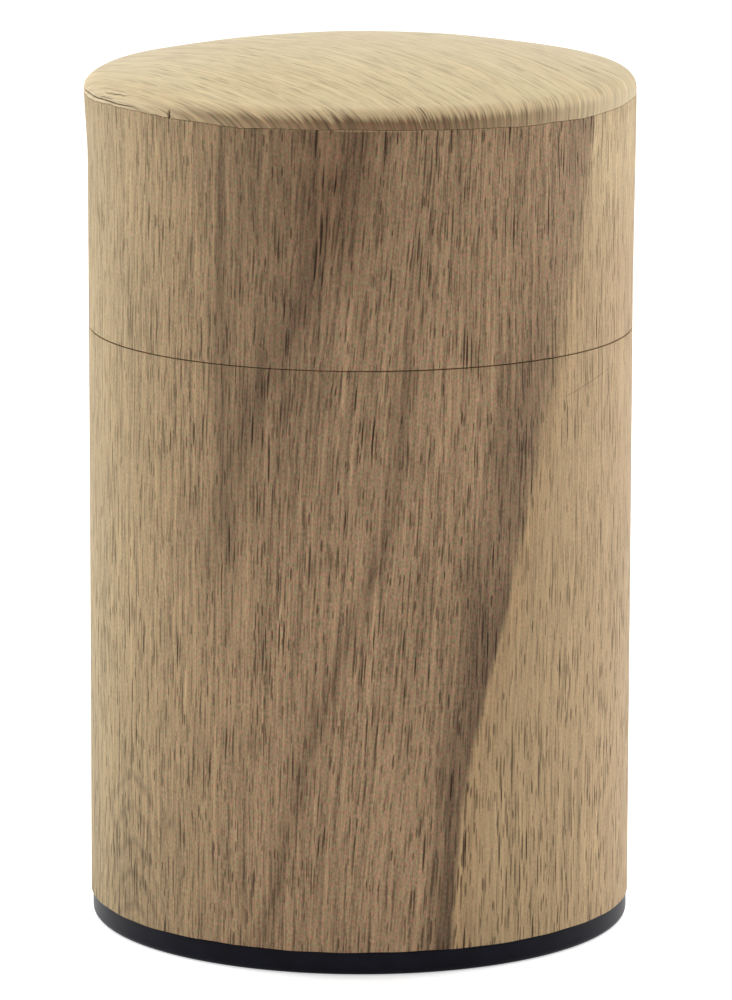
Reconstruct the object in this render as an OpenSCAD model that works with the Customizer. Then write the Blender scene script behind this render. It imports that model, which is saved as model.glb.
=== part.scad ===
// Cylindrical tea caddy with two lids, built up from rolled wood.
// A rolled core carries a walnut face veneer, and an inner tube faced with cherry bark stands up
// above the body as a neck. A plug lid closes the neck, and a domed outer lid slides down over it.
// +Z is up, and the origin is the middle of the face that the caddy stands on. Millimetres.

/* [Size] */
// Outside diameter over the face veneer
body_d = 80; // [74:1:90]
// Height to the top of the domed crown
total_h = 130; // [124:1:150]
// Height of the joint line between the body and the outer lid
split_z = 88.5; // [70:0.5:92]
// Height of the black base below the face veneer
base_h = 3.5; // [2.5:0.5:6]

/* [Sheets and tubes] */
// Thickness of the walnut face veneer
face_t = 0.5; // [0.3:0.1:0.8]
// Thickness of the cherry bark
bark_t = 0.3; // [0.2:0.1:0.4]
// Wall of the outer lid's rolled core
lid_core_t = 1.6; // [1.4:0.1:2]
// Wall of the inner tube's rolled core
neck_core_t = 1.2; // [1:0.1:1.6]
// Gap between the two face veneers at the joint line
split_gap = 0.2; // [0.1:0.05:0.4]
// Gap between the skived ends of a rolled sheet
seam_gap = 0.06; // [0.04:0.01:0.1]

/* [Neck] */
// Height of the neck above the joint line
neck_h = 18; // [12:1:20]
// How far the neck's bark skin runs down inside the body
skin_tuck = 8; // [4:1:12]
// Radial gap between the neck and the outer lid
lid_gap = 0.1; // [0.05:0.05:0.2]
// Bevel round the top of the neck and of the inner lid
edge_bevel = 0.2; // [0.1:0.05:0.25]

/* [Crown] */
// Radius of the rounded shoulder
shoulder_r = 2.6; // [2:0.1:4]
// Rise from the start of the shoulder to the top
crown_rise = 6.6; // [5.5:0.1:9]
// How far the crown veneer runs down below the start of the shoulder
crown_lap = 0.5; // [0.2:0.1:1]
// Height of the lid's inside, from its rim to its ceiling
lid_depth = 29.2; // [28:0.1:29.5]
// Depth to which the crown board plugs the lid's core
crown_spigot = 1.5; // [1:0.5:2.5]

/* [Inner lid] */
// Thickness of the inner lid's board
flange_t = 1.8; // [1.4:0.1:2.2]
// Depth of the plug below the neck's rim
plug_depth = 8; // [6:0.5:12]
// Radial gap between the plug and the neck's lining
plug_gap = 0.1; // [0.05:0.05:0.2]
// Radial gap between the inner lid's edge and the outer lid
flange_gap = 0.3; // [0.2:0.05:0.5]
// Wall of the plug's ring
ring_t = 1.3; // [1:0.1:2]
// Thickness of the board that closes the plug
plug_floor_t = 1; // [0.8:0.1:1.5]
// Diameter of the knob
knob_d = 13; // [10:0.5:16]
// Height of the knob
knob_h = 7.6; // [6:0.1:7.8]
// Diameter of the knob's dowel
dowel_d = 4; // [3:0.5:4.5]

/* [Base] */
// How far the black base stands back from the face veneer
base_inset = 0.3; // [0.1:0.1:0.6]
// Radius of the base's rounded bottom edge
base_edge_r = 0.9; // [0.5:0.1:1.5]
// Width of the foot ring that the caddy stands on
foot_w = 5.5; // [4:0.5:8]
// Depth of the hollow inside the foot ring
foot_recess = 1.2; // [0.6:0.2:2]
// Height of the base board's plug inside the core
base_spigot = 3; // [2:0.5:4]
// Thickness of the floor board
floor_t = 2; // [1.5:0.5:3]

/* [Hidden] */
$fn = 180;

// Outer wall, from the outside in
face_r = body_d / 2;
core_r = face_r - face_t;
lid_core_bore = core_r - lid_core_t;
lid_bore = lid_core_bore - bark_t;

// Neck, from the outside in
neck_r = lid_bore - lid_gap;
neck_core_r = neck_r - bark_t;
neck_core_bore = neck_core_r - neck_core_t;
mouth_r = neck_core_bore - bark_t;

// Heights in the body
spigot_z = base_h + base_spigot;
floor_z = spigot_z + floor_t;
tea_floor_z = floor_z + bark_t;
neck_z = split_z + neck_h;

// Heights in the outer lid
ceiling_z = split_z + lid_depth;
board_z = ceiling_z + bark_t;
lid_core_top_z = board_z + crown_spigot;
shoulder_z = total_h - crown_rise;
seam_z = shoulder_z - crown_lap;

// Inner lid
flange_r = lid_bore - flange_gap;
flange_core_r = flange_r - bark_t;
flange_z = neck_z + flange_t;
inner_top_z = flange_z + bark_t;
plug_r = mouth_r - plug_gap;
plug_core_r = plug_r - bark_t;
plug_bore = plug_core_r - ring_t;
plug_z = neck_z - plug_depth;
dowel_r = dowel_d / 2;
dowel_top_z = inner_top_z + knob_h * 0.6;
// Room above the dowel, inside the knob
knob_clear = 0.2;
// The knob's foot and waist: radius as a share of its head's, height as a share of its own
knob_stem = [[0.68, 0], [0.68, 0.08], [0.57, 0.2], [0.52, 0.36], [0.6, 0.48]];
// Height and radius of the lip round the knob's head, as shares of its height
lip_at = 0.66;
lip_share = 0.1;

// Base
base_r = face_r - base_inset;
foot_bore = base_r - base_edge_r - foot_w;

// Angle of a sheet's skived ends, away from square to the wall
skive = 60;
// Length of the cut along a skive, in sheet thicknesses
skive_reach = 6;
// Direction of the face veneers' seams, and how far the bark's seams are turned from it
seam_angle = 90;
seam_turn = 10;
// How far a cutting shape runs past what it cuts
over = 1;
// Segments in a shoulder or edge, and in the dome
edge_steps = 10;
dome_steps = 24;

// Points on an arc about centre c, from angle a0 to angle a1, in degrees
function arc(c, r, a0, a1, steps) =
    [for (i = [0:steps]) let (a = a0 + (a1 - a0) * i / steps) c + r * [cos(a), sin(a)]];

// Outline of the crown from its axis to its shoulder, t inside its outer face.
// A large dome circle touches the shoulder's circle from outside, so the two blend.
function crown_line(t) = let (
    a = face_r - shoulder_r,
    h = crown_rise,
    dome_r = (a * a + h * h - shoulder_r * shoulder_r) / (2 * (h - shoulder_r)),
    lean = asin(a / (dome_r - shoulder_r))
) concat(
    arc([0, total_h - dome_r], dome_r - t, 90, 90 - lean, dome_steps),
    arc([a, shoulder_z], shoulder_r - t, 90 - lean, 0, edge_steps)
);

module tube(r, bore, z0, z1) {
    translate([0, 0, z0]) difference() {
        cylinder(r = r, h = z1 - z0);
        translate([0, 0, -over]) cylinder(r = bore, h = z1 - z0 + 2 * over);
    }
}

module disc(r, z0, z1) {
    translate([0, 0, z0]) cylinder(r = r, h = z1 - z0);
}

// A sheet rolled into a tube, with its skived ends meeting at a slanting seam at the back
module wrap(r, t, z0, z1, turn = 0) {
    cut = skive_reach * t;
    difference() {
        tube(r, r - t, z0, z1);
        rotate([0, 0, seam_angle + turn]) translate([r - t / 2, 0, z0 - over]) rotate([0, 0, skive])
            translate([-cut / 2, -seam_gap / 2, 0]) cube([cut, seam_gap, z1 - z0 + 2 * over]);
    }
}

// ---- Body ----

module base_board() {
    color("#1c1b22") rotate_extrude() polygon(concat(
        [[0, foot_recess], [foot_bore - foot_recess, foot_recess], [foot_bore, 0]],
        arc([base_r - base_edge_r, base_edge_r], base_edge_r, -90, 0, edge_steps),
        [
            [base_r, base_h - edge_bevel], [base_r - edge_bevel, base_h],
            [neck_core_r, base_h], [neck_core_r, spigot_z], [0, spigot_z]
        ]
    ));
}

module body_core() {
    skin_z = split_z - skin_tuck;
    color("#d8bf93") difference() {
        tube(core_r, neck_core_r, base_h, split_z);
        disc(neck_r, skin_z, split_z + over);
    }
}

module body_face_veneer() {
    color("#a5896a") wrap(face_r, face_t, base_h, split_z - split_gap / 2);
}

module neck_tube() {
    color("#d8bf93") tube(neck_core_r, neck_core_bore, spigot_z, neck_z);
}

module neck_skin() {
    color("#6b2f1f") difference() {
        wrap(neck_r, bark_t, split_z - skin_tuck, neck_z, seam_turn);
        rotate_extrude() polygon([
            [neck_r - edge_bevel, neck_z + edge_bevel / 2], [neck_r - edge_bevel, neck_z],
            [neck_r, neck_z - edge_bevel], [neck_r + over, neck_z - edge_bevel],
            [neck_r + over, neck_z + edge_bevel / 2]
        ]);
    }
}

module body_lining() {
    color("#6b2f1f") wrap(neck_core_bore, bark_t, floor_z, neck_z, -seam_turn);
}

module floor_board() {
    color("#d8bf93") disc(neck_core_bore, spigot_z, floor_z);
}

module floor_lining() {
    color("#6b2f1f") disc(mouth_r, floor_z, tea_floor_z);
}

// ---- Outer lid ----

module lid_core() {
    color("#d8bf93") tube(core_r, lid_core_bore, split_z, lid_core_top_z);
}

module lid_face_veneer() {
    color("#a5896a") wrap(face_r, face_t, split_z + split_gap / 2, seam_z);
}

module crown_board() {
    color("#d8bf93") rotate_extrude() polygon(concat(
        crown_line(face_t),
        [
            [core_r, lid_core_top_z], [lid_core_bore, lid_core_top_z],
            [lid_core_bore, board_z], [0, board_z]
        ]
    ));
}

module crown_veneer() {
    outer = crown_line(0);
    inner = crown_line(face_t);
    last = len(inner) - 1;
    color("#d9c39a") rotate_extrude() polygon(concat(
        outer, [[face_r, seam_z], [core_r, seam_z]], [for (i = [last:-1:0]) inner[i]]
    ));
}

module lid_lining() {
    color("#6b2f1f") wrap(lid_core_bore, bark_t, split_z, ceiling_z, seam_turn);
}

module ceiling_lining() {
    color("#6b2f1f") disc(lid_core_bore, ceiling_z, board_z);
}

// ---- Inner lid ----

module inner_lid_board() {
    color("#d8bf93") tube(flange_core_r, dowel_r, neck_z, flange_z);
}

module inner_lid_facing() {
    color("#6b2f1f") rotate_extrude() polygon([
        [dowel_r, flange_z], [flange_r, flange_z],
        [flange_r - edge_bevel, inner_top_z], [dowel_r, inner_top_z]
    ]);
}

module inner_lid_edge_band() {
    color("#6b2f1f") wrap(flange_r, bark_t, neck_z, flange_z, -seam_turn);
}

module plug_ring() {
    color("#d8bf93") tube(plug_core_r, plug_bore, plug_z, neck_z);
}

module plug_band() {
    color("#6b2f1f") wrap(plug_r, bark_t, plug_z, neck_z, seam_turn);
}

module plug_floor() {
    color("#d8bf93") disc(plug_bore, plug_z, plug_z + plug_floor_t);
}

module plug_facing() {
    color("#6b2f1f") rotate_extrude() polygon([
        [0, plug_z - bark_t], [plug_r - edge_bevel, plug_z - bark_t],
        [plug_r, plug_z], [0, plug_z]
    ]);
}

// A turned knob: a small foot, a waist for the fingertips and a mushroom head
module knob() {
    head_r = knob_d / 2;
    lip_z = knob_h * lip_at;
    lip_r = knob_h * lip_share;
    cap_r = head_r - lip_r;
    cap_h = knob_h - lip_z - lip_r;
    bore_h = dowel_top_z - inner_top_z + knob_clear;
    color("#5a3b27") translate([0, 0, inner_top_z]) difference() {
        rotate_extrude() polygon(concat(
            [[0, 0]],
            [for (p = knob_stem) [p[0] * head_r, p[1] * knob_h]],
            arc([cap_r, lip_z], lip_r, -90, 90, edge_steps),
            [for (i = [1:edge_steps]) let (a = 90 * i / edge_steps)
                [cap_r * cos(a), lip_z + lip_r + cap_h * sin(a)]]
        ));
        translate([0, 0, -over]) cylinder(r = dowel_r, h = bore_h + over);
    }
}

module knob_dowel() {
    color("#c8a671") disc(dowel_r, neck_z, dowel_top_z);
}

base_board();
body_core();
body_face_veneer();
neck_tube();
neck_skin();
body_lining();
floor_board();
floor_lining();
lid_core();
lid_face_veneer();
crown_board();
crown_veneer();
lid_lining();
ceiling_lining();
inner_lid_board();
inner_lid_facing();
inner_lid_edge_band();
plug_ring();
plug_band();
plug_floor();
plug_facing();
knob();
knob_dowel();
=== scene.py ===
"""Looks of a walnut-veneered tea caddy, built round its CAD frame.

Angles run round the caddy from the middle of the front, positive to the right, and the
rolled sheets meet at the back. Shapes are worked out in millimetres and stored in metres.
"""

import math

import bpy
import numpy as np
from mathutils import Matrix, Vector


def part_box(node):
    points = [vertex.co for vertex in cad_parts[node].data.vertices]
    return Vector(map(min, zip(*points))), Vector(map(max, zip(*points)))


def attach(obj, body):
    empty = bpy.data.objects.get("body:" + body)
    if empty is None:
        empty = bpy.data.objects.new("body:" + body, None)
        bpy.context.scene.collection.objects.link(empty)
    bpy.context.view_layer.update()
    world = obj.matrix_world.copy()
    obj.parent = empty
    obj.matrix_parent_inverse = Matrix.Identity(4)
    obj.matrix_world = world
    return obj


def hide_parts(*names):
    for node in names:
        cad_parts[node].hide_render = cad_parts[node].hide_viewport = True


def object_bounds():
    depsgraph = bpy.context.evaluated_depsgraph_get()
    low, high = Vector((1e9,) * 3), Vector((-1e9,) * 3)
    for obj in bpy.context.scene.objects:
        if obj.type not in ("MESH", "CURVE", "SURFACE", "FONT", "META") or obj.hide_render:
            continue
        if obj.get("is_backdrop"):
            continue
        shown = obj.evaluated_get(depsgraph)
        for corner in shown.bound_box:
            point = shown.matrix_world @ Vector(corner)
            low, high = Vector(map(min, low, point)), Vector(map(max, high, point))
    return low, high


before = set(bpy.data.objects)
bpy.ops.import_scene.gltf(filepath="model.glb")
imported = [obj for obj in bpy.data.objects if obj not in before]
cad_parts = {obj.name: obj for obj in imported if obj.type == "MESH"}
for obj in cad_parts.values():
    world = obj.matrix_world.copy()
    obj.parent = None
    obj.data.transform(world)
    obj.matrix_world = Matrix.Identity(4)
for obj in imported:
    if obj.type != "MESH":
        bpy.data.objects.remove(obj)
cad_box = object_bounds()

MM = 0.001
TAU = 2 * math.pi


# ---- Sizes, read from the frame ----


def radius(node):
    """Outer radius of a CAD node, in millimetres."""
    low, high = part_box(node)
    return (high.x - low.x) / 2 / MM


def bottom(node):
    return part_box(node)[0].z / MM


def top(node):
    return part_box(node)[1].z / MM


FACE_R = radius("body_face_veneer")
CORE_R = radius("body_core")
NECK_CORE_R = radius("neck_tube")
BASE_R = radius("base_board")
MOUTH_R = radius("floor_lining")
FACE_T = FACE_R - CORE_R
BARK_T = radius("neck_skin") - NECK_CORE_R
BASE_TOP = bottom("body_face_veneer")
SPLIT_Z = top("body_core")
SEAM_Z = top("lid_face_veneer")
CROWN_TOP = top("crown_veneer")

# The crown's shoulder, as the CAD model turns it
SHOULDER_R = 2.6
CROWN_LAP = 0.5
SHOULDER_Z = SEAM_Z + CROWN_LAP
SHOULDER_AXIS_R = FACE_R - SHOULDER_R
CROWN_RISE = CROWN_TOP - SHOULDER_Z
DOME_R = (SHOULDER_AXIS_R**2 + CROWN_RISE**2 - SHOULDER_R**2) / (2 * (CROWN_RISE - SHOULDER_R))
SHOULDER_LEAN = math.asin(SHOULDER_AXIS_R / (DOME_R - SHOULDER_R))
SHOULDER_TOP = SHOULDER_Z + SHOULDER_R * math.cos(SHOULDER_LEAN)

# Directions along and across the crown veneer's grain
GRAIN_ANGLE = math.radians(-57)
GRAIN_ALONG = (math.cos(GRAIN_ANGLE), math.sin(GRAIN_ANGLE))
GRAIN_ACROSS = (-math.sin(GRAIN_ANGLE), math.cos(GRAIN_ANGLE))


# ---- Mesh building ----

SHARP_ANGLE = math.radians(50)


def swept_volume(points, faces):
    """Six times the volume inside the faces, negative when they face inward."""
    total = 0.0
    for group in faces:
        for k in range(1, group.shape[1] - 1):
            a, b, c = points[group[:, 0]], points[group[:, k]], points[group[:, k + 1]]
            total += float(np.sum(a * np.cross(b, c)))
    return total


def add_object(name, points, faces, body, slot, replaced):
    """A smooth-shaded mesh object that rides on a body. The points are in millimetres."""
    points = np.asarray(points, float)
    if swept_volume(points, faces) < 0:
        faces = [f[:, ::-1] for f in faces]
    mesh = bpy.data.meshes.new(name)
    mesh.from_pydata((points * MM).tolist(), [], [row for f in faces for row in f.tolist()])
    mesh.validate()
    mesh.shade_smooth()
    mesh.set_sharp_from_angle(angle=SHARP_ANGLE)
    piece = bpy.data.objects.new(name, mesh)
    bpy.context.scene.collection.objects.link(piece)
    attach(piece, body)
    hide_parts(*replaced)
    return piece


def rounded(corners, steps=4):
    """Closed outline through corners given as (radius, height, fillet)."""
    outline = []
    count = len(corners)
    for i, (x, y, fillet) in enumerate(corners):
        here = np.array((x, y), float)
        if fillet == 0:
            outline.append(here)
            continue
        back = np.array(corners[i - 1][:2]) - here
        ahead = np.array(corners[(i + 1) % count][:2]) - here
        back /= np.linalg.norm(back)
        ahead /= np.linalg.norm(ahead)
        half = math.acos(np.clip(back @ ahead, -1, 1)) / 2
        middle = back + ahead
        centre = here + middle / np.linalg.norm(middle) * fillet / math.sin(half)
        start = here + back * fillet / math.tan(half) - centre
        end = here + ahead * fillet / math.tan(half) - centre
        sweep = math.pi - 2 * half
        for k in range(steps + 1):
            t = k / steps
            outline.append(
                centre
                + start * math.sin((1 - t) * sweep) / math.sin(sweep)
                + end * math.sin(t * sweep) / math.sin(sweep)
            )
    return np.array(outline)


def dense(outline, step, closed=True):
    """The outline with points added, so that no two neighbours are further apart than step."""
    out = []
    count = len(outline)
    for i in range(count if closed else count - 1):
        a, b = outline[i], outline[(i + 1) % count]
        pieces = max(1, math.ceil(np.linalg.norm(b - a) / step))
        out += [a + (b - a) * k / pieces for k in range(pieces)]
    if not closed:
        out.append(outline[-1])
    return np.array(out)


def arc(centre, r, start, end, steps):
    """Points on an arc, its angles in radians from straight outward."""
    angles = np.linspace(start, end, steps + 1)
    return np.stack([centre[0] + r * np.cos(angles), centre[1] + r * np.sin(angles)], 1)


def to_points(r, theta, z):
    """Points from the radius, the angle from the front and the height."""
    return np.stack([r * np.sin(theta), -r * np.cos(theta), z], -1)


def ring_faces(rings, count, closed_round, closed_section):
    """Quads between neighbouring rings of count points each, numbered ring by ring."""
    k = np.arange(rings if closed_section else rings - 1)
    j = np.arange(count if closed_round else count - 1)
    k, j = np.meshgrid(k, j, indexing="ij")
    k, j = k.ravel(), j.ravel()
    k1, j1 = (k + 1) % rings, (j + 1) % count
    return np.stack([k * count + j, k * count + j1, k1 * count + j1, k1 * count + j], 1)


def fan(centre, first, count, flip):
    """Triangles from a centre point to a ring of count points."""
    j = np.arange(count)
    j1 = (j + 1) % count
    rim = [first + j1, first + j] if flip else [first + j, first + j1]
    return np.stack([np.full(count, centre), *rim], 1)


def even_angles(count):
    return np.arange(count) * TAU / count - math.pi


def turned(name, outline, angles, **place):
    """A closed outline of (radius, height) turned all the way round."""
    r, theta = np.meshgrid(outline[:, 0], angles, indexing="ij")
    z = np.repeat(outline[:, 1:], len(angles), axis=1)
    points = to_points(r, theta, z).reshape(-1, 3)
    faces = ring_faces(len(outline), len(angles), True, True)
    return add_object(name, points, [faces], **place)


def turned_solid(name, outline, angles, shape=None, **place):
    """An outline that starts and ends on the axis, turned all the way round. shape moves the points."""
    inner = outline[1:-1]
    r, theta = np.meshgrid(inner[:, 0], angles, indexing="ij")
    z = np.repeat(inner[:, 1:], len(angles), axis=1)
    if shape:
        r, theta, z = shape(r, theta, z)
    count = len(angles)
    rows = len(inner)
    points = to_points(r, theta, z).reshape(-1, 3)
    ends = [(0, 0, outline[0][1]), (0, 0, outline[-1][1])]
    faces = [
        ring_faces(rows, count, True, False),
        fan(rows * count, 0, count, True),
        fan(rows * count + 1, (rows - 1) * count, count, False),
    ]
    return add_object(name, np.concatenate([points, ends]), faces, **place)


def rolled(name, outline, count, gap, skive, shape, seam=math.pi, **place):
    """A sheet rolled into a tube. Its ends are cut at a slant and meet at the seam, gap apart."""
    outer = outline[:, 0].max()
    half = gap / 2 / outer
    angles = np.linspace(seam - TAU + half, seam - half, count)
    r, theta = np.meshgrid(outline[:, 0], angles, indexing="ij")
    theta = theta + skive * (r - outer) / outer
    z = np.repeat(outline[:, 1:], count, axis=1)
    r, theta, z = shape(r, theta, z)
    rows = len(outline)
    points = to_points(r, theta, z).reshape(-1, 3)
    start = np.arange(rows)[None, :] * count
    faces = [ring_faces(rows, count, False, True), start, start[:, ::-1] + count - 1]
    return add_object(name, points, faces, **place)


# ---- The wall's hand-made unevenness ----


def smooth(a, b, x):
    """0 below a, 1 above b, and a smooth rise between them."""
    t = np.clip((x - a) / (b - a), 0, 1)
    return t * t * (3 - 2 * t)


def hill(x, centre, width):
    """1 at the centre, falling to 0 about two widths away."""
    return np.exp(-(((x - centre) / width) ** 2))


def wall_wave(theta, z):
    """How far the veneered wall stands out of true, in millimetres."""
    wave = 0.03 * np.sin(2 * theta + 0.7) + 0.02 * np.sin(3 * theta + z / 30)
    wave += 0.012 * np.sin(7 * theta - z / 18)
    return wave - 0.03


LEFT_FLARE = 0.5
RIGHT_FLARE = 0.28


def flare(theta, z):
    """The lid's wall spreads near its top, most of all on the left."""
    left = np.clip(-np.sin(theta), 0, 1) ** 2
    right = np.clip(np.sin(theta), 0, 1) ** 2
    top_part = smooth(SEAM_Z - 10, SEAM_Z + 1, z)
    whole_lid = smooth(SEAM_Z - 32, SEAM_Z, z)
    return LEFT_FLARE * left * top_part + RIGHT_FLARE * right * whole_lid


# The crown veneer's edge lies this far under the true seam, tilts down to the right, and warps
SEAM_DROP = 0.12
SEAM_TILT = 0.5
SEAM_WARP = 0.2
WARP_START = 0.6


def seam_height(theta):
    """Height of the crown veneer's hand-trimmed edge."""
    level = SEAM_Z - SEAM_DROP - SEAM_TILT * np.sin(theta) + SEAM_WARP * np.cos(2 * theta - WARP_START)
    lifted = 0.35 * hill(theta, -0.95, 0.25) + 0.95 * np.clip(np.sin(theta), 0, 1) ** 10
    dipped = 0.3 * hill(theta, -0.45, 0.14) + 0.2 * hill(theta, 0.6, 0.12)
    trim = 0.05 * np.sin(11 * theta + 1) + 0.035 * np.sin(23 * theta + 2.5) + 0.02 * np.sin(61 * theta)
    return level + lifted - dipped + trim


def split_gap(theta):
    """Half of the gap between the lid and the body, which almost closes at the front."""
    return 0.085 - 0.035 * hill(theta, -0.1, 0.42) + 0.008 * np.sin(5 * theta + 1)


# ---- Walnut veneer pieces ----

SEAM_GAP = 0.09
SKIVE = 1.2
WALL_COUNT = 720
EDGE_FILLET = 0.06
# How far from a sheet's edge its hand trimming still shows
TRIM_REACH = 3
# Half of the CAD model's gap between the lid and the body
CAD_HALF_GAP = 0.1


def wall_veneer(name, node, body, shape):
    """One of the two sheets rolled round the wall."""
    z0, z1 = bottom(node), top(node)
    corners = [
        (FACE_R, z0, EDGE_FILLET),
        (FACE_R, z1, EDGE_FILLET),
        (CORE_R, z1, EDGE_FILLET / 2),
        (CORE_R, z0, EDGE_FILLET / 2),
    ]
    return rolled(
        name,
        dense(rounded(corners), 3),
        WALL_COUNT,
        SEAM_GAP,
        SKIVE,
        shape,
        body=body,
        slot="walnut_face",
        replaced=[node],
    )


def body_veneer():
    def shape(r, theta, z):
        high = smooth(SPLIT_Z - TRIM_REACH, SPLIT_Z, z)
        low = smooth(BASE_TOP + 2, BASE_TOP, z)
        z = z - high * (split_gap(theta) - CAD_HALF_GAP)
        z = z + low * (0.04 * np.sin(9 * theta) + 0.03 * np.sin(31 * theta))
        return r + wall_wave(theta, z) * smooth(CORE_R, FACE_R, r), theta, z

    return wall_veneer("body_walnut_veneer", "body_face_veneer", "body", shape)


def lid_veneer():
    # The wall's sheet stops just short of the crown's
    joint = 0.04

    def shape(r, theta, z):
        high = smooth(SEAM_Z - TRIM_REACH, SEAM_Z, z)
        low = smooth(SPLIT_Z + TRIM_REACH, SPLIT_Z, z)
        z = z + low * (split_gap(theta) - CAD_HALF_GAP)
        z = z + high * (seam_height(theta) - SEAM_Z - joint)
        return r + wall_wave(theta, z) * smooth(CORE_R, FACE_R, r) + flare(theta, z), theta, z

    return wall_veneer("lid_walnut_veneer", "lid_face_veneer", "outer_lid", shape)


# Drying cracks in the crown veneer, along its edge on the left: the angle and the height above
# the seam where each starts and ends, its half width and its depth, in radians and millimetres
CRACKS = [
    (-1.62, 0.72, -0.84, 0.95, 0.075, 0.3),
    (-1.2, 1.8, -0.98, 2.15, 0.06, 0.2),
    (-1.21, 1.15, -1.07, 1.35, 0.05, 0.16),
]
# How far a crack wanders from its straight line, and how fast
CRACK_WANDER = 0.05
CRACK_WAVES = 23.0
# A nick in the crown veneer's edge: angle, half width, height and depth, in radians and millimetres
NICK = (-0.745, 0.2, 1.5, 0.3)
DEEPEST_CUT = 0.35
# The stretch of the edge that holds the cracks and the nick
CRACKED_FROM, CRACKED_TO = -1.64, -0.65
# Slope of the crown's top, which is a little higher on its right
CROWN_LEAN = 0.0045
# Length of sheet used up by each millimetre down the shoulder, beyond the radius gained
BEND_LENGTH = 0.66


def flat_place(r, theta, z):
    """Where a point of the crown veneer lay when the sheet was flat: across and along the grain."""
    reach = r + BEND_LENGTH * np.clip(SHOULDER_TOP - z, 0, None)
    x, y = reach * np.sin(theta), -reach * np.cos(theta)
    return x * GRAIN_ACROSS[0] + y * GRAIN_ACROSS[1], x * GRAIN_ALONG[0] + y * GRAIN_ALONG[1]


def crown_line(inset, dome_steps, shoulder_steps):
    """The crown's outline from the axis to the foot of its shoulder, inset from the outer face."""
    upright = math.pi / 2
    dome = arc((0, CROWN_TOP - DOME_R), DOME_R - inset, upright, upright - SHOULDER_LEAN, dome_steps)
    centre = (SHOULDER_AXIS_R, SHOULDER_Z)
    shoulder = arc(centre, SHOULDER_R - inset, upright - SHOULDER_LEAN, 0, shoulder_steps)
    return np.concatenate([dome[:-1], shoulder])


def crown_angles():
    """Angles all the way round, closer together where the cracks are."""
    fine = np.linspace(CRACKED_FROM, CRACKED_TO, 400, endpoint=False)
    rest = np.linspace(CRACKED_TO, TAU + CRACKED_FROM, 640, endpoint=False)
    return np.concatenate([fine, rest])


def crown_cut(theta, z):
    """Depth of the cracks and of the nick in the crown veneer."""
    cut = np.zeros_like(z)
    for start, start_height, end, end_height, half_width, depth in CRACKS:
        share = (theta - start) / (end - start)
        taper = smooth(0, 0.25, share) * smooth(1, 0.7, share)
        height = start_height + (end_height - start_height) * share
        line = SEAM_Z + height + CRACK_WANDER * np.sin(CRACK_WAVES * share)
        cut += depth * taper * hill(z, line, half_width)
    angle, half_width, height, depth = NICK
    nick = hill(theta, angle, half_width / FACE_R) * smooth(SEAM_Z + height, SEAM_Z + height * 0.6, z)
    return np.clip(cut + depth * nick, 0, DEEPEST_CUT)


def crown():
    outer = crown_line(0, dome_steps=56, shoulder_steps=50)
    inner = crown_line(FACE_T, dome_steps=12, shoulder_steps=8)
    edge = dense(np.array([(FACE_R, SHOULDER_Z), (FACE_R, SEAM_Z + EDGE_FILLET)]), 0.09, closed=False)
    lip = arc((FACE_R - EDGE_FILLET, SEAM_Z + EDGE_FILLET), EDGE_FILLET, 0, -math.pi / 2, 4)
    outline = np.concatenate([outer, edge[1:], lip[1:], [(CORE_R, SEAM_Z)], inner[::-1]])

    def shape(r, theta, z):
        upright = smooth(CORE_R - 1, FACE_R, r)
        low = smooth(SHOULDER_Z + 1.5, SEAM_Z, z)
        across, along = flat_place(r, theta, z)
        shown = np.zeros_like(r)
        shown[: len(outer) - 1 + len(edge)] = 1
        z = z + low * (seam_height(theta) - SEAM_Z) + (1 - low) * CROWN_LEAN * r * np.sin(theta)
        cut = crown_cut(theta, z) * shown
        ripple = 0.03 * np.sin(across / 3.1 + 1) * np.sin(along / 9 + across / 11) * shown
        outward = wall_wave(theta, z) + flare(theta, z) - cut
        return r + outward * upright, theta, z + (ripple - cut) * (1 - upright)

    return turned_solid(
        "crown_walnut_veneer",
        outline,
        crown_angles(),
        shape=shape,
        body="outer_lid",
        slot="walnut_crown",
        replaced=["crown_veneer"],
    )


# ---- Base ----


def base():
    """The black base: a foot ring round a hollow, and a spigot that holds the neck."""
    foot_width = 5.5
    recess = 1.2
    edge = 0.9
    spigot_z = top("base_board")
    foot_bore = BASE_R - edge - foot_width
    corners = [
        (0, recess, 0),
        (foot_bore - recess, recess, 0.5),
        (foot_bore, 0, 0.35),
        (BASE_R, 0, edge),
        (BASE_R, BASE_TOP, 0.2),
        (NECK_CORE_R, BASE_TOP, 0),
        (NECK_CORE_R, spigot_z, 0.15),
        (0, spigot_z, 0),
    ]
    outline = dense(rounded(corners, 6), 2.5, closed=False)
    return turned_solid(
        "base_lacquered",
        outline,
        even_angles(360),
        body="body",
        slot="black_lacquer",
        replaced=["base_board"],
    )


# ---- Cherry bark sheets ----


BARK_COUNT = 480
BARK_GAP = 0.1
BARK_SKIVE = 0.8


def bark_tube(node, body, seam, lining=False):
    """A bark sheet rolled round a core, or inside one as its lining, with an uneven shown face."""
    outer = radius(node)
    inner = outer - BARK_T
    z0, z1 = bottom(node), top(node)
    corners = [(outer, z0, 0.08), (outer, z1, 0.12), (inner, z1, 0.06), (inner, z0, 0.06)]
    depth = 0.02

    def shape(r, theta, z):
        shown = smooth(outer, inner, r) if lining else smooth(inner, outer, r)
        ripple = np.sin(z * 1.7 + 3 * np.sin(2 * theta)) * np.sin(5 * theta + z / 7)
        sunk = depth * (1 - ripple) * shown
        return r + (sunk if lining else -sunk), theta, z

    return rolled(
        node + "_bark",
        dense(rounded(corners, 3), 1.6),
        BARK_COUNT,
        BARK_GAP,
        BARK_SKIVE,
        shape,
        seam=seam,
        body=body,
        slot="cherry_bark",
        replaced=[node],
    )


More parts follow.
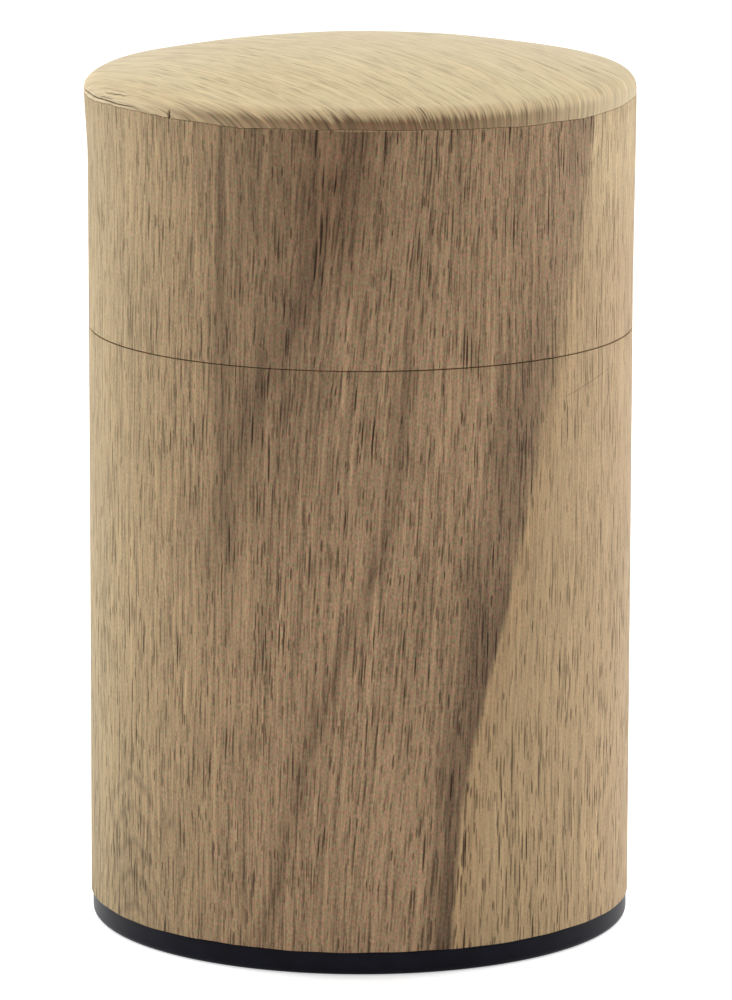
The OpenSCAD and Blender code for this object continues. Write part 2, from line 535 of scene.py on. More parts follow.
def bark_disc(node, body, bore=0.0, bevel_top=True, bevel=0.2):
    """A bark disc glued to a board, with its shown rim rounded."""
    outer = radius(node)
    z0, z1 = bottom(node), top(node)
    glued = 0.02
    low_fillet, high_fillet = (glued, bevel) if bevel_top else (bevel, glued)
    if bore:
        corners = [(bore, z0, 0), (outer, z0, low_fillet), (outer, z1, high_fillet), (bore, z1, 0.05)]
        outline = dense(rounded(corners, 4), 1.8)
        build = turned
    else:
        corners = [(0, z0, 0), (outer, z0, low_fillet), (outer, z1, high_fillet), (0, z1, 0)]
        outline = dense(rounded(corners, 4), 1.8, closed=False)
        build = turned_solid
    return build(
        node + "_bark",
        outline,
        even_angles(240),
        body=body,
        slot="cherry_bark",
        replaced=[node],
    )


# ---- Knob ----


def knob():
    """A turned knob with a foot, a waist for the fingertips and a mushroom head."""
    z0, z1 = bottom("knob"), top("knob")
    height = z1 - z0
    head = radius("knob")
    hole = radius("knob_dowel")
    hole_top = top("knob_dowel") + 0.2
    foot, waist, lip = head * 0.68, head * 0.52, height * 0.1
    cap = head - lip
    lip_z = z0 + height * 0.66
    profile = [
        (hole, z0, 0),
        (foot, z0, 0.15),
        (foot, z0 + height * 0.08, 0.25),
        (waist, z0 + height * 0.3, 1.2),
        (waist + 0.4, z0 + height * 0.5, 0.8),
        (cap, lip_z - lip, 0.4),
    ]
    past_end = (cap + 0.5, lip_z, 0)
    lower = rounded([*profile, past_end], 8)[:-1]
    rim = arc((cap, lip_z), lip, -math.pi / 2, math.pi / 2, 10)
    climb = np.linspace(0, math.pi / 2, 14)[1:]
    rise = z1 - lip_z - lip
    dome = np.stack([cap * np.cos(climb), lip_z + lip + rise * np.sin(climb)], 1)
    inside = np.array([(hole, hole_top), (0, hole_top)])
    outline = np.concatenate([inside[::-1], lower, rim, dome])
    return turned_solid(
        "knob_turned",
        dense(outline, 0.8, closed=False),
        even_angles(128),
        body="inner_lid",
        slot="knob_wood",
        replaced=["knob"],
    )


# ---- Materials: a small algebra over shader nodes ----


class Graph:
    """A material whose node tree is written as sums. Lengths are in millimetres."""

    def __init__(self, name):
        self.material = bpy.data.materials.new(name)
        self.material.use_nodes = True
        self.tree = self.material.node_tree
        self.shader = self.tree.nodes["Principled BSDF"]

    def node(self, kind, inputs=(), **settings):
        node = self.tree.nodes.new(kind)
        for key, value in settings.items():
            setattr(node, key, value)
        for key, value in dict(inputs).items():
            self.feed(node.inputs[key], value)
        return node

    def feed(self, socket, value):
        if isinstance(value, Field):
            self.tree.links.new(value.socket, socket)
        else:
            socket.default_value = value

    def math(self, operation, *values, clamp=False):
        node = self.node("ShaderNodeMath", enumerate(values), operation=operation, use_clamp=clamp)
        return Field(self, node.outputs[0])

    def point(self, x, y, z=0.0):
        node = self.node("ShaderNodeCombineXYZ", {"X": x, "Y": y, "Z": z})
        return Field(self, node.outputs[0])

    def place(self):
        """The point's own x, y and z in millimetres, which move with the piece."""
        coordinates = self.node("ShaderNodeTexCoord").outputs["Object"]
        split = self.node("ShaderNodeSeparateXYZ", {"Vector": Field(self, coordinates)})
        return [Field(self, output) / MM for output in split.outputs]

    def noise(self, x, y, z=0.0, detail=2.0, roughness=0.5):
        """Soft noise from 0 to 1, with features about one unit across."""
        inputs = {"Vector": self.point(x, y, z), "Scale": 1.0, "Detail": detail, "Roughness": roughness}
        return Field(self, self.node("ShaderNodeTexNoise", inputs).outputs[0])

    def cells(self, x, y):
        """Distance to the nearest of a scatter of points, and three random numbers for it."""
        inputs = {"Vector": self.point(x, y), "Scale": 1.0, "Randomness": 1.0}
        node = self.node("ShaderNodeTexVoronoi", inputs, voronoi_dimensions="2D")
        split = self.node("ShaderNodeSeparateColor", {"Color": Field(self, node.outputs["Color"])})
        return Field(self, node.outputs["Distance"]), [Field(self, s) for s in split.outputs]

    def mix(self, share, first, second):
        """A colour between two others."""
        node = self.node("ShaderNodeMix", data_type="RGBA")
        for socket, value in zip((node.inputs[0], node.inputs[6], node.inputs[7]), (share, first, second)):
            self.feed(socket, value)
        return Field(self, node.outputs[2])

    def shade(self, colour, amount):
        """The colour made darker or lighter by a factor."""
        node = self.node("ShaderNodeVectorMath", {0: colour, "Scale": amount}, operation="SCALE")
        return Field(self, node.outputs[0])

    def times(self, colour, factors):
        """The colour with each of its channels multiplied by a factor."""
        node = self.node("ShaderNodeVectorMath", {0: colour, 1: factors}, operation="MULTIPLY")
        return Field(self, node.outputs[0])

    def bump(self, height):
        """Relief of the surface, from a height in millimetres."""
        inputs = {"Height": height, "Distance": MM, "Strength": 1.0}
        node = self.node("ShaderNodeBump", inputs)
        self.tree.links.new(node.outputs[0], self.shader.inputs["Normal"])

    def set(self, **values):
        for key, value in values.items():
            self.feed(self.shader.inputs[key.replace("_", " ")], value)
        return self.material


class Field:
    """A value that varies over the surface."""

    def __init__(self, graph, socket):
        self.graph = graph
        self.socket = socket

    def __add__(self, other):
        return self.graph.math("ADD", self, other)

    def __sub__(self, other):
        return self.graph.math("SUBTRACT", self, other)

    def __mul__(self, other):
        return self.graph.math("MULTIPLY", self, other)

    def __truediv__(self, other):
        return self.graph.math("DIVIDE", self, other)

    def __rsub__(self, other):
        return self.graph.math("SUBTRACT", other, self)

    __radd__ = __add__
    __rmul__ = __mul__

    def sin(self):
        return self.graph.math("SINE", self)

    def angle_round(self, y):
        """Angle from the middle of the front, for a point at this x and at y."""
        return self.graph.math("ARCTAN2", self, 0.0 - y)

    def length_with(self, other):
        return self.graph.math("SQRT", self * self + other * other)

    def above(self, other):
        return self.graph.math("MAXIMUM", self, other)

    def rise(self, low, high, to_low=0.0, to_high=1.0):
        """A smooth step from to_low to to_high as the value goes from low to high."""
        inputs = {"Value": self, "From Min": low, "From Max": high, "To Min": to_low, "To Max": to_high}
        node = self.graph.node("ShaderNodeMapRange", inputs, interpolation_type="SMOOTHSTEP")
        return Field(self.graph, node.outputs["Result"])

    def hill(self, centre, width):
        """1 at the centre, falling to 0 about two widths away."""
        offset = (self - centre) / width
        return self.graph.math("POWER", math.e, offset * offset * -1.0)

    def curve(self, points, span):
        """A smooth curve through (value, result) points, both within 0 to span."""
        node = self.graph.node("ShaderNodeFloatCurve")
        line = node.mapping.curves[0]
        for k, (x, y) in enumerate(points):
            if k < 2:
                line.points[k].location = (x / span, y / span)
            else:
                line.points.new(x / span, y / span)
        node.mapping.update()
        self.graph.feed(node.inputs["Value"], self / span)
        return Field(self.graph, node.outputs[0]) * span


def paint(red, green, blue):
    """A colour as a painter's 0 to 255 values, made linear."""
    linear = [((v / 255 + 0.055) / 1.055) ** 2.4 if v > 10 else v / 255 / 12.92 for v in (red, green, blue)]
    return (*linear, 1.0)


def pores(g, across, along, width, length, size, seed, missing):
    """Vessel lines: thin dashes along the grain, 0 on plain wood and 1 in the middle of a dash.

    Each dash lies in a cell of the given width and length and fills about twice size of it. missing
    is the share of cells that stay empty, and seed moves the whole scatter.
    """
    distance, (spread, depth, chance) = g.cells(across / width + seed, along / length + seed)
    reach = size * (0.55 + 0.75 * spread)
    dash = distance.rise(reach, reach * 0.55)
    return dash * (0.35 + 0.65 * depth) * chance.rise(missing, missing + 0.1)


def fibres(g, across, along):
    """Fine fibres and the still finer texture on them, both from -0.5 to 0.5."""
    fibre = g.noise(across / 0.3, along / 9, 6.0, detail=1.0) - 0.5
    fine = g.noise(across / 0.15, along / 2.6, 7.0, detail=1.0) - 0.5
    return fibre, fine


# ---- Walnut ----

SAPWOOD = paint(158, 134, 101)
PALE_SAPWOOD = paint(170, 148, 113)
INNER_SAPWOOD = paint(158, 131, 97)
LEFT_WOOD = paint(150, 131, 96)
HEARTWOOD = paint(146, 120, 92)
DARK_HEART = paint(72, 54, 41)
RED_HEART = paint(88, 59, 38)
# The crown's pale wood with a painted whitish sheen, used towards the back of the dome
CROWN_WOOD_WITH_SHEEN = paint(181, 169, 141)
CROWN_FRONT = paint(180, 164, 128)
CROWN_RED = paint(156, 124, 86)
# Colours of the crown's shoulder: warmer and lighter over its bend, partly the bent wood's redder tone and
# partly painted highlight; darker down at the seam, partly the wood's own darker colour and partly painted
# shade
CROWN_BEND_TONE_AND_LIGHT = paint(190, 166, 127)
CROWN_EDGE_TONE_AND_SHADE = paint(118, 92, 67)
PORE = paint(52, 38, 28)
# Painted shadow in the crown's cracks and nick
CRACK_SHADE = paint(42, 30, 24)

# Lines in the wall's figure, as (height, place round the wall from the middle of the front)
HEART_EDGE = [(0, 13), (30, 16), (42, 19), (56, 23), (68, 25.5), (88, 30), (106, 35), (130, 41)]
FLANK = [(0, -30), (46, -24), (60, -20.5), (75, -17.5), (88, -12), (100, -6), (110, -3), (130, 4)]
GROWTH_LINE = [(0, -16), (14, -12), (34, -7), (52, -1), (62, 3), (82, 6), (104, 9), (130, 12)]
# The dark stripe beside the heartwood's edge: its width and its strength in percent, by height
STRIPE_WIDTH = [(0, 6.5), (24, 6.5), (40, 9), (60, 11), (90, 11), (130, 8)]
STRIPE_STRENGTH = [(0, 88), (30, 80), (44, 80), (54, 66), (64, 48), (84, 48), (100, 20), (130, 42)]
CURVE_SPAN = 130
# Added to the places while they are in a curve, which can't hold negative ones
CURVE_OFFSET = 40.0
# Where the arch of growth rings stands, and where the figure's left flank does, round the wall
ARCH_PLACE = -39.0
LEFT_FLANK = -21.5


def veneer_relief(g, pore, fibre, fine):
    """Matt sanded veneer: open pores and fine fibres, rougher in the pores."""
    g.bump(0.03 * fibre + 0.01 * fine - 0.09 * pore)
    return 0.6 + 0.12 * fine + 0.2 * pore


def fleck_hue(g, colour, fleck):
    """Fibres a little redder where the fleck is high and a little greener where it is low."""
    tint = g.point(1.0 + fleck * 0.9, 1.0 - fleck * 0.4, 1.0 + fleck * 0.2)
    return g.times(colour, tint)


def beside(around, z, line):
    """Distance to the right of a line through (height, place) points."""
    raised = [(height, place + CURVE_OFFSET) for height, place in line]
    return around - (z.curve(raised, CURVE_SPAN) - CURVE_OFFSET)


def heart_edge(g, around, z, kink):
    """How far a place lies past the heartwood's slanting edge, and how much it is sapwood."""
    wander = (g.noise(z / 11, 0.0, 5.0, detail=3.0) - 0.5) * 1.6 + kink * 0.7
    beyond = beside(around, z, HEART_EDGE) + wander
    softness = z.rise(50, 100, 0.7, 4.5) * z.rise(108, 120, 1.0, 0.25)
    return beyond, beyond.rise(-0.6 * softness, 1.0 * softness)


def dark_stripe(g, across, z, beyond):
    """The dark stripe along the heartwood's edge."""
    width = z.curve(STRIPE_WIDTH, CURVE_SPAN)
    strength = z.curve(STRIPE_STRENGTH, CURVE_SPAN) * 0.01
    stripe = (beyond + 0.2).rise(0.0 - width, width * z.rise(36, 60, 0.0, -0.4))
    return stripe * strength * (0.8 + 0.4 * g.noise(z / 14, across / 3, 1.0))


def growth_figure(g, around, across, z, kink, sway):
    """The pointed growth figure high on the left, its ridges, and a slanting growth line beside it.

    Gives a list of dark marks, each with its weight.
    """
    flank = beside(around, z, FLANK) + kink * 1.6 + sway * 1.5
    left_flank = around - LEFT_FLANK + kink * 1.2
    inside = left_flank.rise(-0.6, 0.8) * flank.rise(2.0, -2.4) * z.rise(52, 68)
    left_ridge = left_flank.hill(0.6, 1.2) * z.rise(58, 84) * 0.5
    ridge = flank.hill(-0.6, 3.4) * z.rise(54, 66) * z.rise(112, 102, 0.22, 0.5) + left_ridge
    line = (beside(around, z, GROWTH_LINE) + kink * 1.5).hill(0.0, 1.6) * z.rise(110, 84)
    broken = g.noise(across / 0.9, z / 16, 21.0, detail=2.0).rise(0.3, 0.66, 0.5, 1.0)
    return [(inside, 0.16), (ridge * broken, 0.7), (line * broken, 0.45)]


def broad_marks(around, z, kink):
    """Broad darker places: behind the figure, at the top, at the foot, and an arch of rings low down.

    Gives a list of dark marks, each with its weight.
    """
    behind = around.hill(-11, 9) * z.hill(80, 24)
    cap = around.hill(4, 12) * z.rise(88, 118)
    foot = z.rise(28, 5) * around.rise(-18, -34)
    sideways = around - ARCH_PLACE
    arch = z + sideways * sideways * 0.16 + kink * 2.5
    rings = (arch * 1.3).sin().rise(0.2, 1.0) * arch.rise(30, 26) * sideways.hill(0.0, 9.0)
    return [(behind, 0.2), (cap, 0.08), (foot, 0.12), (rings, 0.22)]


def face_pores(g, across, z, dark):
    """The wall's open pores, thicker in some bands of the wood and where it is dark."""
    band = g.noise(across / 4.0, z / 34, 12.0, detail=2.0).rise(0.34, 0.62, 0.25, 1.0) + dark * 0.5
    wide = pores(g, across, z, width=0.65, length=15.0, size=0.21, seed=3.7, missing=0.05)
    narrow = pores(g, across, z, width=0.5, length=8.0, size=0.25, seed=11.2, missing=0.2)
    vessel = pores(g, across, z, width=1.3, length=60.0, size=0.1, seed=31.4, missing=0.25)
    short = pores(g, across, z, width=0.6, length=4.5, size=0.24, seed=23.9, missing=0.5)
    most = wide * band + 0.8 * narrow * (0.5 + 0.5 * band)
    return most.above(short * 0.8).above(vessel * band * 0.8)


def seam_glint(around, z):
    """A painted highlight: a thin light line just under the crown's edge, at the front, where the top of
    the wall's sheet catches the light.
    """
    angle = around / FACE_R
    warp = (angle * 2.0 + (math.pi / 2 - WARP_START)).sin() * SEAM_WARP
    height = z - SEAM_Z + SEAM_DROP + angle.sin() * SEAM_TILT - warp
    return height.rise(-0.34, -0.12) * angle.hill(0.05, 0.4)


def walnut_face():
    """The wall's veneer: pale sapwood on the right, darker heartwood, and a paler left side."""
    g = Graph("walnut_face")
    x, y, z = g.place()
    around = x.angle_round(y) * FACE_R
    sway = g.noise(around / 30, z / 45, 3.0, detail=1.0) - 0.5
    kink = g.noise(around / 2.5, z / 9, 8.0, detail=2.0) - 0.5
    lean = around.hill(2.0, 15.0) * 0.06 + 0.012
    across = around - (z - 60.0) * lean + sway * 1.6 + kink * 0.3

    beyond, sap = heart_edge(g, around, z, kink)
    heart = around.rise(-58, -6) * (1.0 - sap)
    cloud = g.noise(across / 7, z / 42, 2.0, detail=3.0, roughness=0.55) - 0.5
    red_patch = around.hill(-4, 7) * z.hill(115, 13)
    marks = growth_figure(g, around, across, z, kink, sway) + broad_marks(around, z, kink)
    marks += [(dark_stripe(g, across, z, beyond) * (1.0 - sap), 0.8), (cloud * (1.0 - sap), 0.5)]
    marks += [(red_patch, 0.12)]
    dark = sum(mark * weight for mark, weight in marks)

    # From the widest texture to the finest
    streak = g.noise(across / 0.7, z / 34, 4.0, detail=2.0) - 0.5
    fibre, fine = fibres(g, across, z)
    fleck = g.noise(around / 0.45, z / 0.6, 9.0, detail=1.0) - 0.5
    grit = g.noise(around / 0.3, z / 0.5, 14.0, detail=1.0) - 0.5
    contrast = 0.56 + 0.44 * heart
    pore = face_pores(g, across, z, dark)
    filled = z.rise(70, 30, 0.58, 0.98) * (1.0 - heart) + 0.95 * heart
    scratch = (z - 82.6 - (around - 33.4) * 0.215).hill(0.0, 0.09)
    scratch = scratch * around.rise(32, 35) * around.rise(46, 42)

    colour = g.mix(sap, LEFT_WOOD, g.mix(beyond.rise(0.0, 6.0), INNER_SAPWOOD, SAPWOOD))
    colour = g.mix(sap * z.rise(98, 118), colour, PALE_SAPWOOD)
    colour = g.mix(heart, colour, HEARTWOOD)
    colour = g.mix(dark, colour, DARK_HEART)
    colour = g.mix(red_patch * 0.4, colour, RED_HEART)
    texture = streak * 1.4 + fibre * 0.85 + fine * 0.65 + grit * 0.9
    colour = g.shade(colour, 1.0 + contrast * texture)
    colour = fleck_hue(g, colour, fleck * (contrast * contrast * 0.85))
    # Painted highlight along the top of the wall's sheet, under the crown's edge
    colour = g.mix(seam_glint(around, z) * 0.8, colour, SAPWOOD)
    colour = g.mix(pore * filled + scratch * 0.35, colour, PORE)
    g.set(Base_Color=colour, Roughness=veneer_relief(g, pore, fibre, fine), Specular_IOR_Level=0.12)
    return g.material


def crack_shadow(g, angle, z):
    """Painted shadow in the drying cracks and the nick in the crown's edge, patchy along each crack."""
    shadow = 0.0
    for start, start_height, end, end_height, half_width, _ in CRACKS:
        share = (angle - start) / (end - start)
        height = share * (end_height - start_height) + (share * CRACK_WAVES).sin() * CRACK_WANDER
        taper = share.rise(0.0, 0.25) * share.rise(1.0, 0.7)
        patchy = g.noise(angle / 0.05, z, 3.0, detail=1.0).rise(0.3, 0.55, 0.35, 1.0)
        line = (z - SEAM_Z - start_height - height).hill(0.0, half_width * 0.9)
        shadow = line * taper * patchy + shadow
    nick_angle, nick_width, nick_height, _ = NICK
    nick = ((angle - nick_angle) * FACE_R).hill(0.0, nick_width)
    return shadow + nick * z.rise(SEAM_Z + nick_height, SEAM_Z + nick_height * 0.6)


def walnut_crown():
    """The crown's veneer: pale, its grain running from the back left to the front right."""
    g = Graph("walnut_crown")
    x, y, z = g.place()
    stretch = 1.0 + (BEND_LENGTH * (SHOULDER_TOP - z).above(0.0)) / x.length_with(y).above(1.0)
    across = (x * GRAIN_ACROSS[0] + y * GRAIN_ACROSS[1]) * stretch
    along = (x * GRAIN_ALONG[0] + y * GRAIN_ALONG[1]) * stretch
    sway = g.noise(across / 24, along / 50, 2.0, detail=1.0) - 0.5
    kink = g.noise(across / 2.2, along / 10, 4.0, detail=2.0) - 0.5
    grain = across + sway * 3.0 + kink * 0.3

    # From the widest texture to the finest
    cloud = g.noise(grain / 7, along / 45, 1.0, detail=3.0)
    streak = g.noise(grain / 0.75, along / 44, 5.0, detail=3.0) - 0.5
    fibre, fine = fibres(g, grain, along)
    fleck = g.noise(x / 0.4, y / 0.4, z / 0.4, detail=1.0) - 0.5
    band = g.noise(grain / 4, along / 30, 12.0, detail=2.0).rise(0.32, 0.64, 0.3, 1.0)
    wide = pores(g, grain, along, width=0.8, length=13.0, size=0.2, seed=5.1, missing=0.15)
    narrow = pores(g, grain, along, width=0.45, length=9.0, size=0.26, seed=17.3, missing=0.3)
    pore = wide * band + 0.7 * narrow * (0.4 + 0.6 * band)

    # Where the veneer bends over the shoulder it is painted warmer and lighter near the top, partly its
    # redder tone and partly painted highlight, and darker down towards the seam, partly the wood's own
    # darker colour and partly painted shade, most of all at the front
    angle = x.angle_round(y)
    ragged = (streak + fibre) * 1.6
    bend_tone_and_light = z.rise(SHOULDER_TOP + 0.3, SHOULDER_TOP - 0.7) * angle.hill(0.1, 0.95)
    edge = (z + ragged).rise(SEAM_Z + 2.2, SEAM_Z + 1.0) * angle.hill(0.08, 0.78)
    contrast = 0.6 + 0.7 * edge

    # The back of the dome is painted whiter than the front: a painted sheen of light glancing off the top
    colour = g.mix(y.rise(20, -36), CROWN_WOOD_WITH_SHEEN, CROWN_FRONT)
    colour = g.mix((cloud - 0.25) * 0.4, colour, CROWN_RED)
    colour = g.mix(bend_tone_and_light * 0.9, colour, CROWN_BEND_TONE_AND_LIGHT)
    colour = g.mix(edge, colour, CROWN_EDGE_TONE_AND_SHADE)
    colour = g.shade(colour, 1.0 + contrast * (streak + fibre * 0.8 + fine * 0.5))
    colour = fleck_hue(g, colour, fleck * (0.2 + 0.4 * edge))
    colour = g.mix(pore * (0.32 + 0.33 * bend_tone_and_light + 0.25 * edge), colour, PORE)
    # Painted shadow in the cracks and the nick
    colour = g.mix(crack_shadow(g, angle, z) * 0.9, colour, CRACK_SHADE)
    g.set(Base_Color=colour, Roughness=veneer_relief(g, pore, fibre, fine), Specular_IOR_Level=0.2)
    return g.material


# ---- Bare wood, bark and lacquer ----

PLAIN_WOOD = paint(206, 176, 132)
PLAIN_WOOD_DARK = paint(170, 132, 88)
GLUE = paint(120, 84, 52)
PLY = 0.4


def plain_wood(name, axes):
    """Bare wood. axes gives the grain's across, along and through fields from x, y and z."""
    g = Graph(name)
    across, along, through = axes(*g.place())
    sway = g.noise(across / 18, along / 40, through / 18, detail=1.0) - 0.5
    grain = across + sway * 3.0
    year = g.noise(grain / 2.2, along / 60, through / 2.2, detail=2.0)
    fibre = g.noise(grain / 0.25, along / 8, through / 0.25, detail=2.0)
    fine = g.noise(grain / 0.12, along / 2.5, through / 0.12, detail=1.0)
    slanted = along + through * 3.0
    pore = pores(g, grain, slanted, width=0.5, length=6.0, size=0.14, seed=2.3, missing=0.4)
    colour = g.mix(year.rise(0.3, 0.75) * 0.75, PLAIN_WOOD, PLAIN_WOOD_DARK)
    colour = g.shade(colour, 1.0 + (fibre - 0.5) * 0.24 + (fine - 0.5) * 0.1)
    colour = g.mix(pore * 0.5, colour, PORE)
    g.bump(0.02 * fibre + 0.01 * fine - 0.05 * pore)
    g.set(Base_Color=colour, Roughness=0.55 + 0.12 * fine, Specular_IOR_Level=0.35)
    return g


def rolled_wood(name):
    """Rolled core stock: upright grain on its faces, and its plies as lines on its rims."""

    def axes(x, y, z):
        return x.angle_round(y) * CORE_R, z, x.length_with(y)

    g = plain_wood(name, axes)
    x, y, _ = g.place()
    turns = x.length_with(y) * (TAU / PLY) + x.angle_round(y)
    glue = turns.sin().rise(0.72, 1.0)
    facing = Field(g, g.node("ShaderNodeNewGeometry").outputs["Normal"])
    upward = g.node("ShaderNodeSeparateXYZ", {"Vector": facing}).outputs["Z"]
    rim = g.math("ABSOLUTE", Field(g, upward)).rise(0.6, 0.9)
    wood = Field(g, g.shader.inputs["Base Color"].links[0].from_socket)
    g.set(Base_Color=g.mix(glue * rim * 0.55, wood, GLUE))
    return g.material


def board_wood(name):
    """A flat board: grain from left to right, end grain round its rim."""
    return plain_wood(name, lambda x, y, z: (y, x, z)).material


def upright_wood(name):
    """A dowel: grain along its own axis."""
    return plain_wood(name, lambda x, y, z: (x, z, y)).material


BARK = paint(104, 44, 30)
BARK_DARK = paint(58, 24, 18)
BARK_LIGHT = paint(142, 70, 44)
LENTICEL = paint(168, 118, 84)


def cherry_bark(name, around, up):
    """Polished cherry bark. around and up are functions of x, y and z that give its flat place."""
    g = Graph(name)
    x, y, z = g.place()
    u, v = around(x, y, z), up(x, y, z)
    warp = g.noise(u / 9, v / 5, 1.0, detail=3.0) - 0.5
    v = v + warp * 1.1
    tone = g.noise(u / 26, v / 3.2, 2.0, detail=3.0, roughness=0.6)
    silk = g.noise(u / 5, v / 0.16, 3.0, detail=3.0, roughness=0.6)
    fleck = g.noise(u / 1.1, v / 0.4, 4.0, detail=3.0)
    distance, (spread, depth, chance) = g.cells(u / 15 + 4.2, v / 2.1 + 1.7)
    ragged = distance + (fleck - 0.5) * 0.16
    lenticel = ragged.rise(0.12 + 0.14 * spread, 0.05 + 0.06 * spread) * chance.rise(0.45, 0.55)
    distance, (spread, _, chance) = g.cells(u / 5 + 9.1, v / 0.8 + 6.4)
    small = (distance + (fleck - 0.5) * 0.2).rise(0.2 * spread + 0.1, 0.05) * chance.rise(0.6, 0.7)
    mark = lenticel.above(small * 0.55)
    rim = lenticel * (1.0 - lenticel) * 4.0
    colour = g.mix(tone.rise(0.35, 0.72), BARK_DARK, BARK)
    colour = g.mix(silk.rise(0.55, 0.85) * 0.45, colour, BARK_LIGHT)
    colour = g.mix(rim * 0.6, colour, BARK_DARK)
    colour = g.mix(mark * (0.45 + 0.4 * depth), colour, LENTICEL)
    g.bump(0.012 * silk + 0.05 * mark * fleck + 0.02 * tone)
    rough = 0.3 + 0.12 * silk + 0.3 * mark
    g.set(Base_Color=colour, Roughness=rough, Coat_Weight=0.35, Coat_Roughness=0.18)
    return g.material


def bark_round(name, r):
    """Bark on a round face of radius r, its lenticels lying round it."""
    return cherry_bark(name, lambda x, y, z: x.angle_round(y) * r, lambda x, y, z: z)


def bark_flat(name):
    """Bark on a level face, its lenticels lying from left to right."""
    return cherry_bark(name, lambda x, y, z: x, lambda x, y, z: y)


LACQUER = paint(16, 16, 24)
LACQUER_DUSTY = paint(26, 28, 37)
LACQUER_RUBBED = paint(52, 48, 48)


def black_lacquer():
    """Satin black lacquer over a turned base, with faint turning rings, dust and a rubbed foot."""
    g = Graph("black_lacquer")
    x, y, z = g.place()
    out = x.length_with(y)
    rings = g.noise(out / 0.22, z / 0.22, x.angle_round(y) * 0.4, detail=2.0)
    peel = g.noise(x / 0.8, y / 0.8, z / 0.8, detail=2.0)
    dust = g.noise(x / 5, y / 5, z / 3, detail=4.0, roughness=0.6)
    rub = z.rise(0.5, 0.0) * g.noise(x / 2, y / 2, 3.0, detail=3.0)
    colour = g.mix(dust.rise(0.3, 0.8) * 0.6, LACQUER, LACQUER_DUSTY)
    colour = g.mix(rub * 0.5, colour, LACQUER_RUBBED)
    g.bump(0.004 * rings + 0.01 * peel)
    g.set(Base_Color=colour, Roughness=0.33 + 0.12 * dust + 0.25 * rub, Specular_IOR_Level=0.05)
    return g.material


KNOB_WOOD = paint(70, 42, 28)
KNOB_WOOD_LIGHT = paint(116, 76, 50)
KNOB_PORE = paint(30, 18, 12)


def knob_wood():
    """Dark turned walnut, waxed, its grain from left to right with fine turning rings."""
    g = Graph("knob_wood")
    x, y, z = g.place()
    grain = y + (g.noise(x / 6, y / 3, z / 3, detail=1.0) - 0.5) * 1.6
    year = g.noise(grain / 1.1, x / 22, z / 1.1, detail=2.0)
    fibre = g.noise(grain / 0.16, x / 4, z / 0.16, detail=2.0)
    slanted = grain + z * 0.8
    pore = pores(g, slanted, x, width=0.45, length=3.2, size=0.17, seed=4.4, missing=0.3)
    rings = g.noise(x.length_with(y) / 0.18, z / 0.12, 0.0, detail=1.0)
    colour = g.mix(year.rise(0.3, 0.7), KNOB_WOOD, KNOB_WOOD_LIGHT)
    colour = g.shade(colour, 1.0 + (fibre - 0.5) * 0.4)
    colour = g.mix(pore * 0.75, colour, KNOB_PORE)
    g.bump(0.006 * rings + 0.012 * fibre - 0.05 * pore)
    rough = 0.34 + 0.12 * fibre + 0.2 * pore
    g.set(Base_Color=colour, Roughness=rough, Coat_Weight=0.3, Coat_Roughness=0.25)
    return g.material


# ---- Putting the caddy together ----


def dress(piece, material):
    piece.data.materials.clear()
    piece.data.materials.append(material)


# Node, body, angle of the seam in degrees, whether it lines a bore, material, and its radius there
BARK_TUBES = [
    ("neck_skin", "body", 170, False, "bark_neck", radius("neck_skin")),
    ("body_lining", "body", 190, True, "bark_lining", MOUTH_R),
    ("lid_lining", "outer_lid", 170, True, "bark_lid", radius("lid_lining")),
    ("inner_lid_edge_band", "inner_lid", 190, False, "bark_edge", radius("inner_lid_facing")),
    ("plug_band", "inner_lid", 170, False, "bark_plug", MOUTH_R),
]


def build_caddy():
    face = walnut_face()
    dress(body_veneer(), face)
    dress(lid_veneer(), face)
    dress(crown(), walnut_crown())
    dress(base(), black_lacquer())

    for node, body, seam, lining, name, r in BARK_TUBES:
        dress(bark_tube(node, body, math.radians(seam), lining), bark_round(name, r))

    flat = bark_flat("bark_flat")
    dress(bark_disc("floor_lining", "body", bevel=0.05), flat)
    dress(bark_disc("ceiling_lining", "outer_lid", bevel_top=False, bevel=0.05), flat)
    dress(bark_disc("inner_lid_facing", "inner_lid", bore=radius("knob_dowel")), flat)
    dress(bark_disc("plug_facing", "inner_lid", bevel_top=False), flat)
    dress(knob(), knob_wood())

    # The bare cores and boards are the CAD's own
    core = rolled_wood("rolled_core")
    board = board_wood("board")
    for node in ("body_core", "neck_tube", "lid_core", "plug_ring"):
        dress(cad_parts[node], core)
    for node in ("floor_board", "crown_board", "inner_lid_board", "plug_floor"):
        dress(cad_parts[node], board)
    dress(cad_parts["knob_dowel"], upright_wood("dowel"))


# ---- Studio ----

CAMERA_DISTANCE = 1046.1
CAMERA_HEIGHT = 273.0
CAMERA_SIDE = 0.85
CAMERA_PITCH = math.radians(11.41)
CAMERA_ROLL = math.radians(0.11)
LENS = 260.2

WORLD_LIGHT = 0.45
LEFT_POWER = 7.2
RIGHT_POWER = 6.0
TOP_POWER = 7.0


def camera():
    data = bpy.data.cameras.new("camera")
    data.sensor_width = 36
    data.lens = LENS
    data.clip_end = 20
    view = bpy.data.objects.new("camera", data)
    view.location = (CAMERA_SIDE * MM, -CAMERA_DISTANCE * MM, CAMERA_HEIGHT * MM)
    view.rotation_mode = "ZXY"
    view.rotation_euler = (math.pi / 2 - CAMERA_PITCH, 0, CAMERA_ROLL)
    bpy.context.scene.collection.objects.link(view)
    bpy.context.scene.camera = view


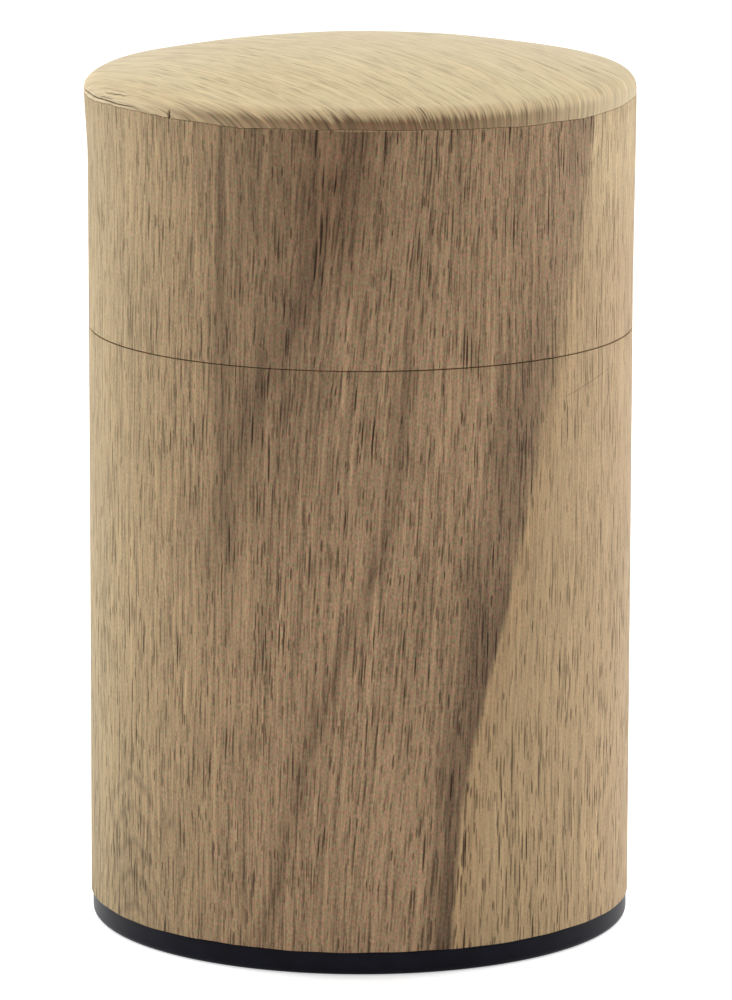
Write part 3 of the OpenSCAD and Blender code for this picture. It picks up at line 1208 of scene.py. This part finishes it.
def softbox(name, place, aim, width, height, power):
    """A rectangular light at a place, aimed at a point, in metres."""
    data = bpy.data.lights.new(name, "AREA")
    data.shape = "RECTANGLE"
    data.size = width
    data.size_y = height
    data.energy = power
    lamp = bpy.data.objects.new(name, data)
    lamp.location = place
    direction = np.array(aim, float) - np.array(place, float)
    yaw = math.atan2(direction[1], direction[0])
    pitch = math.atan2(direction[2], np.hypot(direction[0], direction[1]))
    lamp.rotation_euler = (math.pi / 2 + pitch, 0, yaw - math.pi / 2)
    bpy.context.scene.collection.objects.link(lamp)


def studio():
    """Even light all round, with a softbox on each side and one above, all behind the caddy."""
    world = bpy.data.worlds.new("studio")
    world.use_nodes = True
    background = world.node_tree.nodes["Background"]
    background.inputs["Color"].default_value = (1, 1, 1, 1)
    background.inputs["Strength"].default_value = WORLD_LIGHT
    bpy.context.scene.world = world
    softbox("softbox_left", (-0.72, 0.34, 0.3), (0, 0, 0.07), 0.45, 0.9, LEFT_POWER)
    softbox("softbox_right", (0.72, 0.34, 0.3), (0, 0, 0.07), 0.45, 0.9, RIGHT_POWER)
    softbox("softbox_top", (0, 0.25, 0.9), (0, 0, 0.1), 0.9, 0.7, TOP_POWER)
    bpy.context.scene.view_settings.view_transform = "Standard"
    bpy.context.scene.view_settings.look = "None"


def floor():
    """A plain white floor that gives off a little light, as a lit table does."""
    half = 3.0
    rim = [(-half, -half, 0), (half, -half, 0), (half, half, 0), (-half, half, 0)]
    mesh = bpy.data.meshes.new("floor")
    mesh.from_pydata(rim, [], [(0, 1, 2, 3)])
    plane = bpy.data.objects.new("floor", mesh)
    bpy.context.scene.collection.objects.link(plane)
    g = Graph("floor")
    g.set(Base_Color=(0.9, 0.9, 0.9, 1), Roughness=0.9, Specular_IOR_Level=0.1)
    g.set(Emission_Color=(1, 1, 1, 1), Emission_Strength=0.5)
    plane.data.materials.append(g.material)
    plane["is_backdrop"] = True


def corners(box):
    return [list(corner) for corner in box]


camera()
studio()
floor()
build_caddy()

{"cad": corners(cad_box), "visual": corners(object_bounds())}
